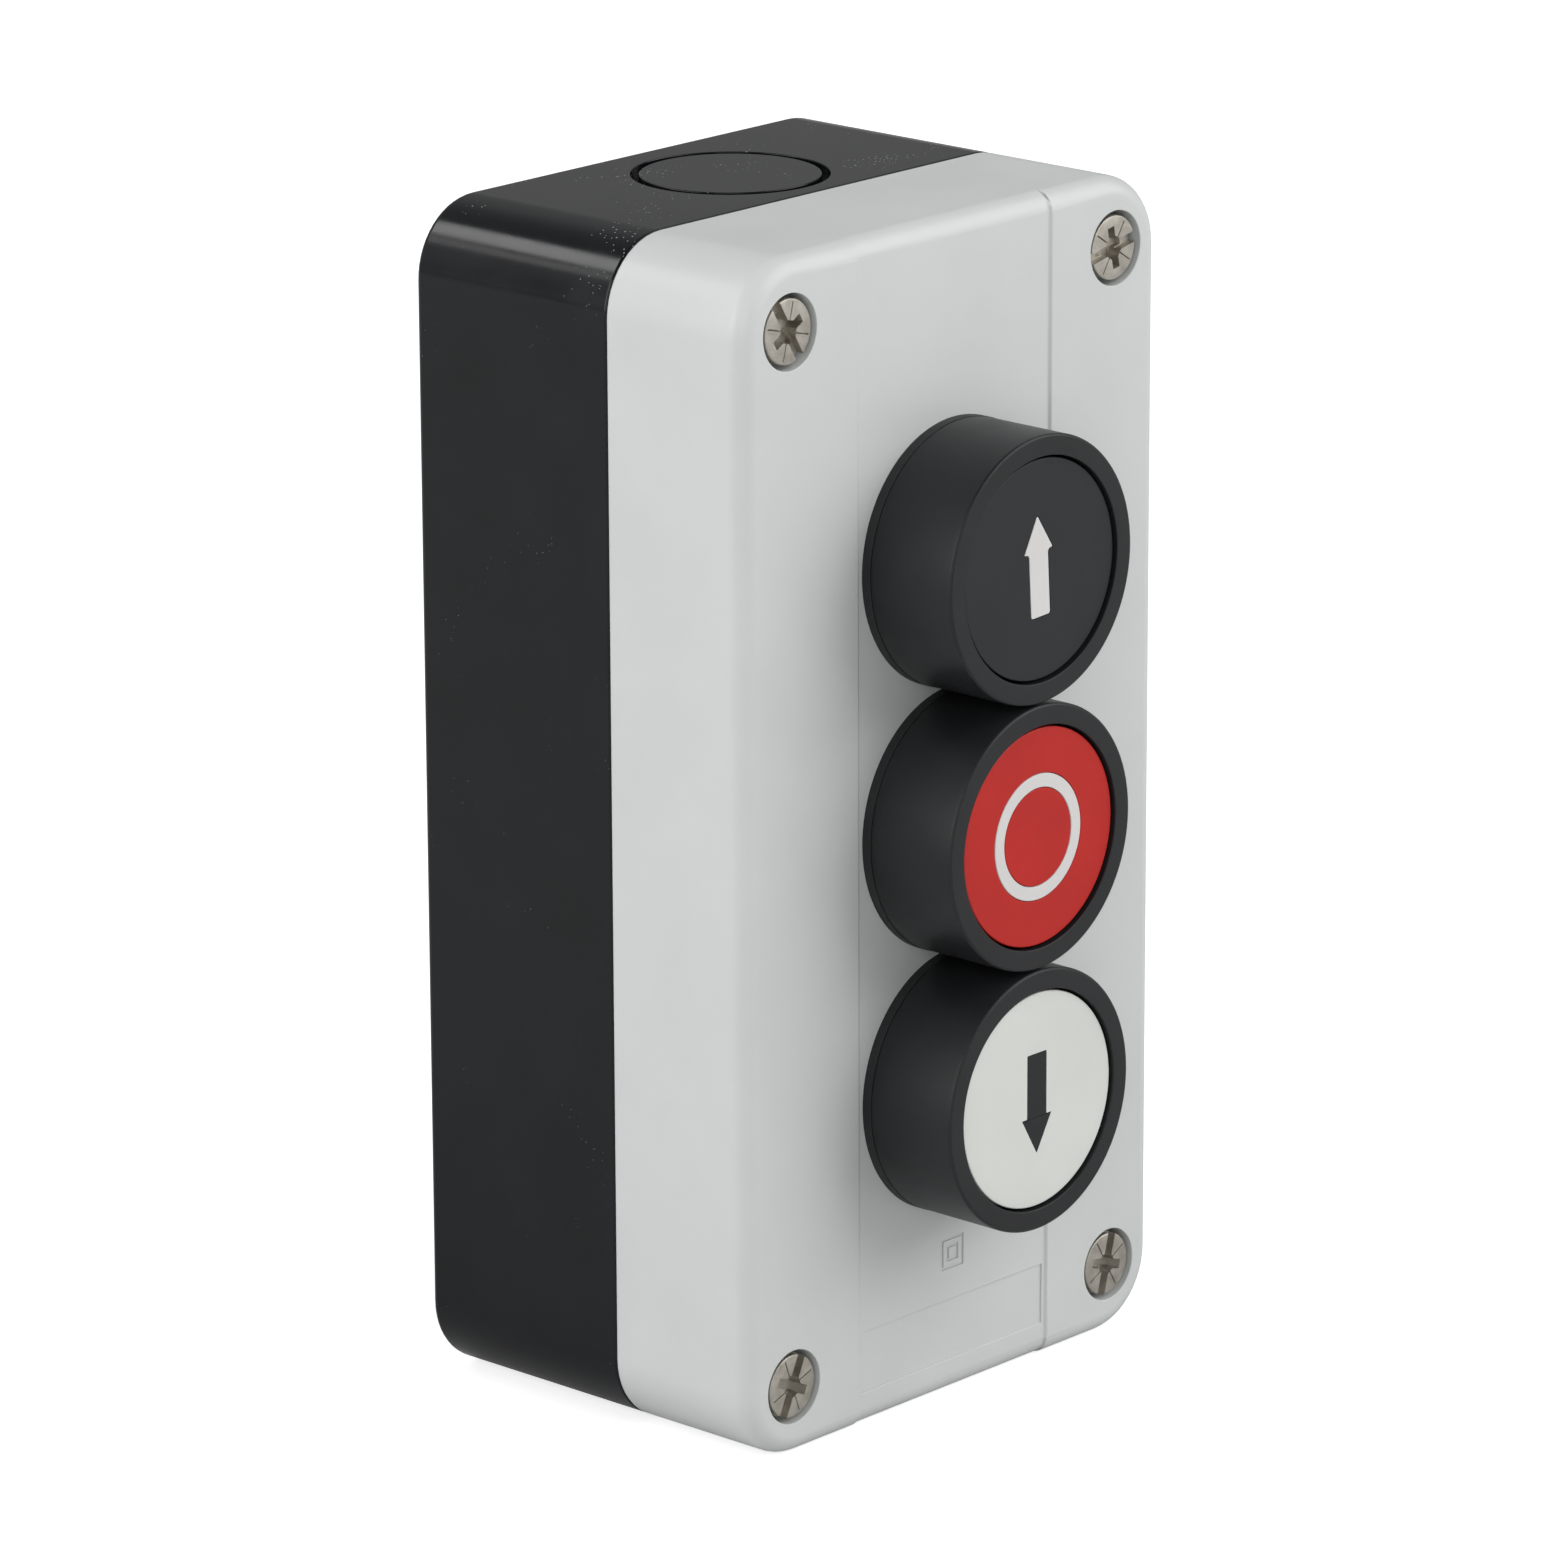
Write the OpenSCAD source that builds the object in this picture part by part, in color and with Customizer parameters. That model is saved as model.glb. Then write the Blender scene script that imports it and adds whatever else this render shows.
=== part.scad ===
// Surface-mounted pushbutton control station with three stations in a column.
// X runs to the right and Z upwards. The wall face lies at Y = 0 and the front looks along -Y.
// A size that ends in _at is a distance in front of the wall face.

/* [Enclosure] */
// Width of the enclosure
body_w = 68; // [62:0.5:90]
// Height of the enclosure
body_h = 134; // [124:0.5:180]
// Depth of the rear base
base_depth = 28.5; // [25:0.5:40]
// Depth of the front cover
cover_depth = 19.6; // [18:0.1:30]
// Radius of the corners seen from the front
corner_r = 8.5; // [7:0.5:10]
// Wall thickness of the rear base
base_wall = 2.8; // [2.4:0.1:3.4]
// Wall thickness of the front cover
cover_wall = 2.6; // [2:0.1:3.2]
// Radius of the front edge of the cover
front_r = 2.25; // [1:0.25:3]

/* [Front recess] */
// Depth of the vertical strip that is sunk into the front
strip_depth = 0.3; // [0.2:0.1:1.2]
// Strip left free beside each bezel
strip_margin = 0.7; // [0.3:0.1:2]
// Height of the shallow label field at the foot of the strip
label_h = 7; // [4:0.5:8]
// Depth of the label field
label_depth = 0.2; // [0.1:0.05:0.4]
// Height of the label field above the lower end
label_rise = 4; // [3:0.5:6]
// Outer side of the moulded double square
mark_size = 3.7; // [2.5:0.1:5]
// Height of the centre of the double square above the lower end
mark_rise = 16.5; // [15:0.5:19]

/* [Cover screws] */
// Distance of the screws from the sides
screw_inset_x = 7.5; // [6.5:0.1:8]
// Distance of the screws from the ends
screw_inset_z = 8; // [7:0.1:10]
// Diameter of the screw shanks
screw_d = 4; // [3:0.1:4.5]
// Diameter of the screw heads
head_d = 7.2; // [6:0.1:7.6]
// Height of the screw heads
head_h = 2.4; // [1.8:0.1:3]
// Depth of the head tops below the front
head_recess = 0.3; // [0.2:0.1:2]
// Diameter of the posts that the screws run in
post_d = 10.4; // [9.8:0.1:12]

/* [Wall fixing] */
// Diameter of the wall fixing holes
fixing_hole_d = 4.4; // [3.5:0.1:5]
// Distance of the fixing holes from the sides
fixing_inset_x = 17; // [16:0.5:20]
// Distance of the fixing holes from the ends
fixing_inset_z = 8; // [8:0.5:12]

/* [Cable entries] */
// Diameter of the closed knockout in each end
knockout_d = 22; // [16:0.5:22]
// Distance of the knockout centres from the wall face
knockout_at = 15.2; // [14:0.1:16.5]

/* [Operators] */
// Diameter of the panel holes
panel_hole_d = 22.3; // [20:0.1:24]
// Diameter of the bezels
bezel_d = 29.8; // [27:0.1:33]
// Gap between neighbouring bezels
bezel_gap = 0.2; // [0.2:0.1:4]
// Height of a bezel above its gasket
bezel_h = 11.4; // [10.5:0.1:16]
// Width of the flat rim round a cap
bezel_rim = 2.35; // [1.6:0.05:3]
// Length of the threaded barrel behind the panel
barrel_reach = 10.5; // [8:0.5:13]
// Travel of a button
travel = 4.3; // [2.5:0.1:5]
// Depth of a cap below its rim
cap_recess = 0.4; // [0:0.1:1]

/* [Symbols] */
// Height of an arrow
arrow_h = 11.5; // [6:0.1:14]
// Width of the shaft of an arrow
arrow_shaft_w = 3.2; // [1.5:0.1:4]
// Width of the head of an arrow
arrow_head_w = 4.9; // [3:0.1:7]
// Length of the head of an arrow
arrow_head_h = 4.2; // [2:0.1:5]
// Offset of an arrow towards its tip
arrow_lead = 0.4; // [0:0.1:1]
// Outer diameter of the ring
ring_d = 14.3; // [10:0.1:17]
// Stroke of the ring
ring_t = 1.65; // [0.8:0.05:2.5]

/* [Contact blocks] */
// Length of a contact block across the enclosure
block_len = 40; // [36:0.5:44]
// Width of a contact block along the column
block_w = 13; // [11.5:0.5:16]
// Height of the lower half of a contact block
block_base_h = 15; // [14.5:0.5:17]
// Opening of a contact
contact_gap = 2.5; // [1.5:0.1:3]

/* [Hidden] */
$fn = 64;
hull_fn = 48;
over = 1;

// Stations from top to bottom: name, place in units of the pitch, whether pressing opens the contact,
// and the colour of the cap.
station_names = ["up", "stop", "down"];
station_steps = [1, 0, -1];
station_opens = [false, true, false];
station_tints = [[0.14, 0.14, 0.15], [0.78, 0.12, 0.1], [0.88, 0.89, 0.87]];
station_ids = [0, 1, 2];

// Fits and clearances
seat_gap = 0.2;
run_fit = 0.15;
side_gap = 0.3;
snug_fit = 0.05;
touch_gap = 0.05;
inlay_fit = 0.02;
end_gap = 0.5;

// Gaskets and seals
gasket_w = 1.2;
gasket_h = 1.2;
panel_gasket_t = 1.2;
panel_gasket_lip = 0.05;
seal_t = 1;
seal_w = 1.5;
screw_seal_t = 0.8;

// Cover and posts
counterbore_gap = 0.6;
screw_gap = 0.25;
thread_gap = 0.05;
post_hole_len = 14;
screw_bite = 12;
knockout_groove_w = 0.95;
knockout_groove_depth = 1.5;
fixing_boss_d = 8;
fixing_boss_h = 1.5;
label_margin = 0.4;
mark_line = 0.35;
mark_inset = 0.9;
mark_depth = 0.2;

// Screw drive
drive_len_share = 0.78;
drive_w_share = 0.17;
drive_depth_share = 0.6;
slot_w_share = 0.18;
slot_depth_share = 0.4;
tick_len_share = 0.9;
tick_w = 0.22;
tick_depth = 0.15;
screw_turns = [-31, 78, 25, 15];

// Operator head
bezel_edge = 0.5;
bezel_edge_steps = 5;
web_t = 1.6;
barrel_wall = 1.4;
shoulder_t = 2;
thread_pitch = 1.5;
thread_depth = 0.35;
thread_turns = 5;
nut_h = 4.5;
nut_wall = 2.3;
nut_notches = 6;
nut_notch_w = 3;
nut_notch_depth = 1.1;
crown_t = 1.8;
skirt_t = 1.2;
hub_h = 1.2;
inlay_depth = 0.6;
disc_t = 1.6;
sleeve_wall = 1.2;
pin_d = 8;
hook_nose = 0.8;
hook_h = 2;
hook_w = 5;
hook_slot_w = 1.6;
hook_slot_len = 8;
hook_zone = 3;
return_wire = 1;
return_turns = 6.5;

// Contact block
stand_off = 0.7;
pad_h = 1.2;
pad_w = 4;
pad_inset = 6;
clip_t = 1.4;
clip_w = 6;
clip_spread = 8;
clip_nose = 0.8;
clip_reach = 4;
clip_lead = 1.2;
block_wall = 1.5;
pocket_floor_h = 5;
pocket_inset = 8;
cavity_x = 10.5;
crown_x = 11.5;
cover_cavity_x = 5.5;
guide_t = 2;
plunger_side = 7.2;
plunger_wall = 1.2;
plunger_foot = 1.2;
plunger_spring_room = 1.8;
bridge_len = 18;
bridge_t = 0.8;
bridge_gap = 0.2;
tip_d = 3;
tip_t = 0.5;
tip_inset = 1.5;
plate_t = 0.8;
plate_w = 5;
plate_end_gap = 0.6;
plate_notch_gap = 0.2;
riser_gap = 0.5;
no_window_h = 7;
nc_arm_h = 13.2;
terminal_inset = 4;
terminal_screw_d = 3.4;
terminal_head_d = 6;
terminal_head_h = 2.2;
terminal_slot_w = 0.9;
terminal_slot_depth = 1.1;
saddle_x = 6.4;
saddle_z = 7.4;
saddle_t = 1;
terminal_hole_gap = 0.1;
block_wire = 0.4;
plunger_spring_r = 2.2;
plunger_turns = 3;
bridge_spring_r = 1.6;
bridge_turns = 2.5;
coil_steps = 12;
coil_sides = 6;

// Levels in front of the wall face
body_depth = base_depth + cover_depth;
strip_at = body_depth - strip_depth;
panel_back_at = strip_at - cover_wall;
bezel_base_at = strip_at + panel_gasket_t;
bezel_top_at = bezel_base_at + bezel_h;
pocket_floor_at = bezel_base_at + web_t;
barrel_end_at = panel_back_at - barrel_reach;
shoulder_at = barrel_end_at + shoulder_t;
cap_top_at = bezel_top_at - cap_recess;
crown_under_at = cap_top_at - crown_t;
cap_end_at = pocket_floor_at + seal_t + side_gap + travel;
stem_under_at = crown_under_at - disc_t;
sleeve_end_at = shoulder_at + travel + end_gap;
pin_end_at = barrel_end_at - hook_zone;
plunger_top_at = pin_end_at - seat_gap;
block_top_at = plunger_top_at - travel - stand_off;
block_at = base_wall + pad_h;
block_split_at = block_at + block_base_h;
cavity_floor_at = block_at + block_wall;
plunger_end_at = cavity_floor_at + travel + plunger_spring_room;
pocket_at = block_at + pocket_floor_h;
plate_top_at = pocket_at + plate_t;

// Places across the front
screw_x = body_w / 2 - screw_inset_x;
screw_z = body_h / 2 - screw_inset_z;
fixing_x = body_w / 2 - fixing_inset_x;
fixing_z = body_h / 2 - fixing_inset_z;
pitch = bezel_d + bezel_gap;
strip_w = bezel_d + 2 * strip_margin;
label_w = strip_w - 2 * label_margin;
counterbore_d = head_d + 2 * counterbore_gap;
head_top_at = body_depth - head_recess;
head_under_at = head_top_at - head_h;
counterbore_floor_at = head_under_at - screw_seal_t;
screw_end_at = base_depth - screw_bite;

// Diameters and radii of an operator
pocket_r = bezel_d / 2 - bezel_rim;
cap_r = pocket_r - side_gap;
skirt_in_r = cap_r - skirt_t;
barrel_d = panel_hole_d - 2 * run_fit;
barrel_bore_r = barrel_d / 2 - barrel_wall;
sleeve_r = barrel_bore_r - run_fit;
sleeve_in_r = sleeve_r - sleeve_wall;
pin_bore_r = pin_d / 2 + seat_gap;
return_mean_r = sleeve_in_r - side_gap - return_wire / 2;
nut_d = barrel_d + 2 * nut_wall;

// Places inside a contact block
pocket_x = block_len / 2 - pocket_inset;
terminal_x = block_len / 2 - terminal_inset;
cavity_z = block_w / 2 - block_wall;
tip_x = bridge_len / 2 - tip_inset;
window_z = plunger_side / 2 - plunger_wall;
bridge_w = 2 * window_z - 2 * bridge_gap;
closing_bridge_at = plate_top_at + tip_t + contact_gap + touch_gap + tip_t;
arm_at = block_at + nc_arm_h;
opening_bridge_at = arm_at - tip_t - touch_gap - tip_t - bridge_t;
bridge_lag = travel - contact_gap;

station_pieces = [
    "bezel", "panel_gasket", "fixing_nut", "cap", "symbol", "stem", "stem_seal", "return_spring",
    "contact_base", "contact_cover", "plunger", "plunger_spring", "bridge", "bridge_spring",
    "terminals", "terminal_saddles", "terminal_screws"
];

// Sets a flat shape, drawn as seen from the front, between two distances from the wall face.
module forward(near_at, far_at) {
    rotate([90, 0, 0])
        translate([0, 0, near_at])
            linear_extrude(height = far_at - near_at)
                children();
}

// Turns a half profile, drawn as radius and distance from the wall face, about the depth axis.
module turned() {
    rotate([90, 0, 0])
        rotate_extrude()
            children();
}

module rounded_rect(w, h, r) {
    square([w - 2 * r, h], center = true);
    square([w, h - 2 * r], center = true);
    for (x = [-1, 1], z = [-1, 1])
        translate([x * (w / 2 - r), z * (h / 2 - r)])
            circle(r = r);
}

module ring_profile(inner_r, outer_r, near_at, far_at) {
    translate([inner_r, near_at])
        square([outer_r - inner_r, far_at - near_at]);
}

// Box given by its middle across the front, its size there and its two distances from the wall face.
module bar(x, z, w, h, near_at, far_at) {
    forward(near_at, far_at)
        translate([x, z])
            square([w, h], center = true);
}

module rod(x, z, d, near_at, far_at) {
    forward(near_at, far_at)
        translate([x, z])
            circle(d = d);
}

module at_corners(x, z) {
    for (i = [-1, 1], k = [-1, 1])
        translate([i * x, 0, k * z])
            children();
}

module at_station(s) {
    translate([0, 0, station_steps[s] * pitch])
        children();
}

module at_ends_x() {
    children();
    mirror([1, 0, 0])
        children();
}

// Points of one ring of a coil's wire, at turn share t of the whole coil.
function coil_ring(r, wire, turns, length, t) =
    let (
        angle = 360 * turns * t,
        rise = wire / 2 + (length - wire) * t,
        slope = atan((length - wire) / (2 * PI * r * turns))
    )
    [for (k = [0 : coil_sides - 1])
        let (
            a = 360 * k / coil_sides,
            out = wire / 2 * cos(a),
            up = wire / 2 * sin(a),
            reach = r + out
        )
        [
            reach * cos(angle) + up * sin(slope) * sin(angle),
            reach * sin(angle) - up * sin(slope) * cos(angle),
            rise + up * cos(slope)
        ]
    ];

// Round wire wound on a cylinder between two distances from the wall face.
module coil(r, wire, turns, near_at, far_at) {
    rings = round(turns * coil_steps);
    length = far_at - near_at;
    points = [
        for (i = [0 : rings], p = coil_ring(r, wire, turns, length, i / rings)) p
    ];
    sides = [
        for (i = [0 : rings - 1], k = [0 : coil_sides - 1])
            let (
                a = i * coil_sides + k,
                b = i * coil_sides + (k + 1) % coil_sides
            )
            each [[a, a + coil_sides, b + coil_sides], [a, b + coil_sides, b]]
    ];
    first = [for (k = [1 : coil_sides - 2]) [0, k, k + 1]];
    last = [
        for (k = [1 : coil_sides - 2])
            let (o = rings * coil_sides) [o, o + k + 1, o + k]
    ];
    rotate([90, 0, 0])
        translate([0, 0, near_at])
            polyhedron(points = points, faces = concat(sides, first, last));
}

// Rear base

module knockout_groove() {
    cylinder(d = knockout_d, h = knockout_groove_depth + over);
}

module knockout_grooves() {
    for (k = [-1, 1])
        translate([0, -knockout_at, k * (body_h / 2 - knockout_groove_depth)])
            rotate([k < 0 ? 180 : 0, 0, 0])
                difference() {
                    knockout_groove();
                    translate([0, 0, -over])
                        cylinder(
                            d = knockout_d - 2 * knockout_groove_w,
                            h = knockout_groove_depth + 3 * over
                        );
                }
}

// Snap hook that holds one side of a contact block, drawn for the upper side.
module block_clip() {
    root = block_w / 2 + seat_gap;
    top_at = block_at + clip_reach;
    translate([clip_w / 2, 0, 0])
        rotate([0, -90, 0])
            linear_extrude(height = clip_w)
                polygon([
                    [root, -base_wall + over],
                    [root + clip_t, -base_wall + over],
                    [root + clip_t, -top_at],
                    [root, -top_at - clip_lead],
                    [root - clip_nose, -top_at],
                    [root - clip_nose, -top_at + clip_lead],
                    [root, -top_at + clip_lead]
                ]);
}

module block_seat() {
    at_ends_x()
        bar(block_len / 2 - pad_inset, 0, pad_w, block_w, base_wall - over, block_at);
    for (x = [-1, 1], k = [0, 1])
        translate([x * clip_spread, 0, 0])
            mirror([0, 0, k])
                block_clip();
}

module gasket_ring(grow) {
    mid = base_wall / 2;
    out = mid - gasket_w / 2 - grow;
    in = mid + gasket_w / 2 + grow;
    difference() {
        rounded_rect(body_w - 2 * out, body_h - 2 * out, corner_r - out);
        rounded_rect(body_w - 2 * in, body_h - 2 * in, corner_r - in);
    }
}

module base() {
    inner_w = body_w - 2 * base_wall;
    inner_h = body_h - 2 * base_wall;
    color([0.15, 0.15, 0.16])
        difference() {
            union() {
                difference() {
                    forward(0, base_depth)
                        rounded_rect(body_w, body_h, corner_r);
                    forward(base_wall, base_depth + over)
                        rounded_rect(inner_w, inner_h, corner_r - base_wall);
                }
                intersection() {
                    at_corners(screw_x, screw_z)
                        rod(0, 0, post_d, base_wall - over, base_depth);
                    forward(0, base_depth)
                        rounded_rect(body_w - base_wall, body_h - base_wall, corner_r - base_wall / 2);
                }
                at_corners(fixing_x, fixing_z)
                    rod(0, 0, fixing_boss_d, base_wall - over, base_wall + fixing_boss_h);
                for (s = station_ids)
                    at_station(s)
                        block_seat();
            }
            at_corners(screw_x, screw_z)
                rod(0, 0, screw_d + 2 * thread_gap, base_depth - post_hole_len, base_depth + over);
            at_corners(fixing_x, fixing_z)
                rod(0, 0, fixing_hole_d, -over, base_wall + fixing_boss_h + over);
            forward(base_depth - gasket_h, base_depth + over)
                gasket_ring(inlay_fit);
            knockout_grooves();
        }
}

module cover_gasket() {
    color([0.25, 0.25, 0.26])
        forward(base_depth - gasket_h, base_depth)
            gasket_ring(0);
}

// Front cover

// Quarter profile of a corner, with the front edge rounded in equal steps.
module corner_puck(r, depth) {
    steps = 6;
    rotate_extrude($fn = hull_fn)
        polygon(concat(
            [[0, 0], [r, 0]],
            [for (i = [0 : steps])
                let (a = 90 * i / steps)
                [r - front_r + front_r * cos(a), depth - front_r + front_r * sin(a)]
            ],
            [[0, depth]]
        ));
}

module cover_outer(depth) {
    rotate([90, 0, 0])
        translate([0, 0, base_depth])
            hull()
                for (x = [-1, 1], z = [-1, 1])
                    translate([x * (body_w / 2 - corner_r), z * (body_h / 2 - corner_r), 0])
                        corner_puck(corner_r, depth);
}

module square_line(size) {
    difference() {
        square(size, center = true);
        square(size - 2 * mark_line, center = true);
    }
}

module cover() {
    inner_w = body_w - 2 * cover_wall;
    inner_h = body_h - 2 * cover_wall;
    color([0.8, 0.82, 0.81])
        difference() {
            cover_outer(cover_depth);
            difference() {
                bar(0, 0, strip_w, body_h + 2 * over, strip_at - front_r, body_depth + over);
                cover_outer(cover_depth - strip_depth);
            }
            difference() {
                forward(base_depth - over, panel_back_at)
                    rounded_rect(inner_w, inner_h, corner_r - cover_wall);
                at_corners(screw_x, screw_z)
                    rod(0, 0, post_d, base_depth, panel_back_at + over);
            }
            at_corners(screw_x, screw_z) {
                rod(0, 0, screw_d + 2 * screw_gap, base_depth - over, body_depth);
                rod(0, 0, counterbore_d, counterbore_floor_at, body_depth + over);
            }
            bar(
                0, label_rise + label_h / 2 - body_h / 2,
                label_w, label_h, strip_at - label_depth, strip_at + over
            );
            forward(strip_at - mark_depth, strip_at + over)
                translate([0, mark_rise - body_h / 2]) {
                    square_line(mark_size);
                    square_line(mark_size - 2 * mark_inset);
                }
            for (s = station_ids)
                at_station(s)
                    rod(0, 0, panel_hole_d, panel_back_at - over, body_depth);
        }
}

// Cover screws

// Slot across the whole head, a shorter and deeper cross, and fine ticks between the arms.
module drive_recess(turn) {
    len = head_d * drive_len_share;
    wide = head_d * drive_w_share;
    deep = head_h * drive_depth_share;
    slot_deep = head_h * slot_depth_share;
    rotate([0, turn, 0]) {
        bar(0, 0, head_d * slot_w_share, head_d + over, head_top_at - slot_deep, head_top_at + over);
        for (a = [0, 90])
            rotate([0, a, 0]) {
                bar(0, 0, len, wide, head_top_at - deep, head_top_at + over);
                rotate([0, 45, 0])
                    bar(
                        0, 0, head_d * tick_len_share, tick_w,
                        head_top_at - tick_depth, head_top_at + over
                    );
            }
    }
}

module cover_screws() {
    color([0.72, 0.7, 0.66])
        for (i = [0 : 3])
            translate([(i % 2 == 0 ? -1 : 1) * screw_x, 0, (i < 2 ? 1 : -1) * screw_z])
                difference() {
                    union() {
                        rod(0, 0, head_d, head_under_at, head_top_at);
                        rod(0, 0, screw_d, screw_end_at, head_under_at + over);
                    }
                    drive_recess(screw_turns[i]);
                }
}

module cover_screw_seals() {
    color([0.2, 0.2, 0.2])
        at_corners(screw_x, screw_z)
            difference() {
                rod(0, 0, head_d, counterbore_floor_at, head_under_at);
                rod(0, 0, screw_d + 2 * touch_gap, counterbore_floor_at - over, head_under_at + over);
            }
}

// Operator head

module bezel() {
    r = bezel_d / 2;
    barrel_r = barrel_d / 2;
    color([0.16, 0.16, 0.17])
        turned()
            polygon(concat(
                [[pin_bore_r, barrel_end_at], [barrel_r - thread_depth, barrel_end_at]],
                [for (i = [0 : thread_turns - 1])
                    let (a = barrel_end_at + thread_pitch / 2 + i * thread_pitch)
                    each [[barrel_r - thread_depth, a], [barrel_r, a + thread_pitch / 2]]
                ],
                [[barrel_r, bezel_base_at], [r, bezel_base_at]],
                [for (i = [0 : bezel_edge_steps])
                    let (a = 90 * i / bezel_edge_steps)
                    [r - bezel_edge + bezel_edge * cos(a), bezel_top_at - bezel_edge + bezel_edge * sin(a)]
                ],
                [
                    [pocket_r, bezel_top_at],
                    [pocket_r, pocket_floor_at],
                    [barrel_bore_r, pocket_floor_at],
                    [barrel_bore_r, shoulder_at],
                    [pin_bore_r, shoulder_at]
                ]
            ));
}

module panel_gasket() {
    color([0.1, 0.1, 0.1])
        turned()
            ring_profile(
                panel_hole_d / 2, bezel_d / 2 + panel_gasket_lip,
                strip_at, bezel_base_at
            );
}

module fixing_nut() {
    color([0.35, 0.36, 0.37])
        difference() {
            rod(0, 0, nut_d, panel_back_at - nut_h, panel_back_at);
            rod(0, 0, barrel_d + 2 * snug_fit, panel_back_at - nut_h - over, panel_back_at + over);
            for (i = [0 : nut_notches - 1])
                rotate([0, 360 * i / nut_notches, 0])
                    bar(
                        nut_d / 2, 0, 2 * nut_notch_depth, nut_notch_w,
                        panel_back_at - nut_h - over, panel_back_at + over
                    );
        }
}

module arrow_outline(grow) {
    tip = arrow_h / 2 + arrow_lead;
    tail = tip - arrow_h;
    shaft = arrow_shaft_w / 2 + grow;
    head = arrow_head_w / 2 + grow;
    neck = tip - arrow_head_h - grow;
    polygon([
        [-shaft, tail - grow], [shaft, tail - grow],
        [shaft, neck], [head, neck],
        [0, tip + grow], [-head, neck], [-shaft, neck]
    ]);
}

// Outline of the symbol of one station, larger all round by grow.
module symbol_outline(s, grow) {
    if (station_steps[s] == 0)
        difference() {
            circle(d = ring_d + 2 * grow);
            circle(d = ring_d - 2 * ring_t - 2 * grow);
        }
    else
        mirror([0, station_steps[s] < 0 ? 1 : 0])
            arrow_outline(grow);
}

module cap(s) {
    color(station_tints[s])
        difference() {
            rod(0, 0, 2 * cap_r, cap_end_at, cap_top_at);
            rod(0, 0, 2 * (sleeve_r + snug_fit), cap_end_at - over, crown_under_at);
            rod(0, 0, 2 * skirt_in_r, cap_end_at - over, crown_under_at - hub_h);
            forward(cap_top_at - inlay_depth, cap_top_at + over)
                symbol_outline(s, inlay_fit);
        }
}

module symbol(s) {
    color(station_steps[s] < 0 ? [0.14, 0.14, 0.15] : [0.93, 0.93, 0.91])
        forward(cap_top_at - inlay_depth, cap_top_at)
            symbol_outline(s, 0);
}

module stem_hooks() {
    hook_at = barrel_end_at - seat_gap;
    intersection() {
        turned()
            polygon([
                [0, hook_at], [pin_d / 2 + hook_nose, hook_at],
                [pin_d / 2, hook_at - hook_h], [0, hook_at - hook_h]
            ]);
        bar(0, 0, pin_d + 4 * hook_nose, hook_w, hook_at - hook_h - over, hook_at + over);
    }
}

module stem() {
    color([0.85, 0.84, 0.8])
        difference() {
            union() {
                turned()
                    polygon([
                        [0, pin_end_at], [pin_d / 2, pin_end_at], [pin_d / 2, stem_under_at],
                        [sleeve_in_r, stem_under_at], [sleeve_in_r, sleeve_end_at],
                        [sleeve_r, sleeve_end_at], [sleeve_r, crown_under_at], [0, crown_under_at]
                    ]);
                stem_hooks();
            }
            bar(
                0, 0, hook_slot_w, pin_d + 4 * hook_nose,
                pin_end_at - over, pin_end_at + hook_slot_len
            );
        }
}

module stem_seal() {
    color([0.12, 0.12, 0.12])
        turned()
            ring_profile(
                sleeve_r + run_fit, sleeve_r + run_fit + seal_w,
                pocket_floor_at, pocket_floor_at + seal_t
            );
}

module return_spring() {
    color([0.7, 0.7, 0.72])
        coil(return_mean_r, return_wire, return_turns, shoulder_at + touch_gap, stem_under_at - touch_gap);
}

// Contact block

module clip_notches() {
    for (x = [-1, 1], z = [-1, 1])
        bar(
            x * clip_spread, z * block_w / 2, clip_w + 2 * side_gap, 2 * clip_nose,
            block_at + clip_reach - clip_lead - side_gap, block_at + clip_reach + clip_lead + side_gap
        );
}

module contact_base(s) {
    inner = 2 * cavity_z;
    color([0.3, 0.31, 0.33])
        difference() {
            bar(0, 0, block_len, block_w, block_at, block_split_at);
            bar(0, 0, 2 * cavity_x, inner, cavity_floor_at, block_split_at + over);
            at_ends_x() {
                bar(
                    (pocket_x + block_len / 2 + over) / 2, 0, block_len / 2 + over - pocket_x, inner,
                    pocket_at, block_split_at + over
                );
                bar(
                    (cavity_x + pocket_x) / 2, 0,
                    pocket_x - cavity_x + 2 * over, plate_w + 2 * plate_notch_gap,
                    pocket_at, block_split_at + over
                );
                rod(
                    terminal_x, 0, terminal_screw_d + 2 * terminal_hole_gap,
                    cavity_floor_at, pocket_at + over
                );
            }
            clip_notches();
        }
}

module contact_cover() {
    guide = plunger_side + 2 * run_fit;
    color([0.42, 0.43, 0.45])
        difference() {
            bar(0, 0, 2 * crown_x, block_w, block_split_at, block_top_at);
            bar(
                0, 0, 2 * cover_cavity_x, 2 * cavity_z,
                block_split_at - over, block_top_at - guide_t
            );
            bar(0, 0, guide, guide, block_split_at, block_top_at + over);
        }
}

function bridge_at(s) = station_opens[s] ? opening_bridge_at : closing_bridge_at;
function window_from(s) =
    station_opens[s] ? plunger_end_at + plunger_foot : bridge_at(s) - touch_gap;
function window_to(s) =
    station_opens[s] ? bridge_at(s) + bridge_t + bridge_lag + touch_gap : window_from(s) + no_window_h;

module plunger(s) {
    color(station_opens[s] ? [0.75, 0.15, 0.12] : [0.2, 0.55, 0.3])
        difference() {
            bar(0, 0, plunger_side, plunger_side, plunger_end_at, plunger_top_at);
            bar(
                0, 0, plunger_side + 2 * over, 2 * window_z,
                window_from(s), window_to(s)
            );
        }
}

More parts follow.
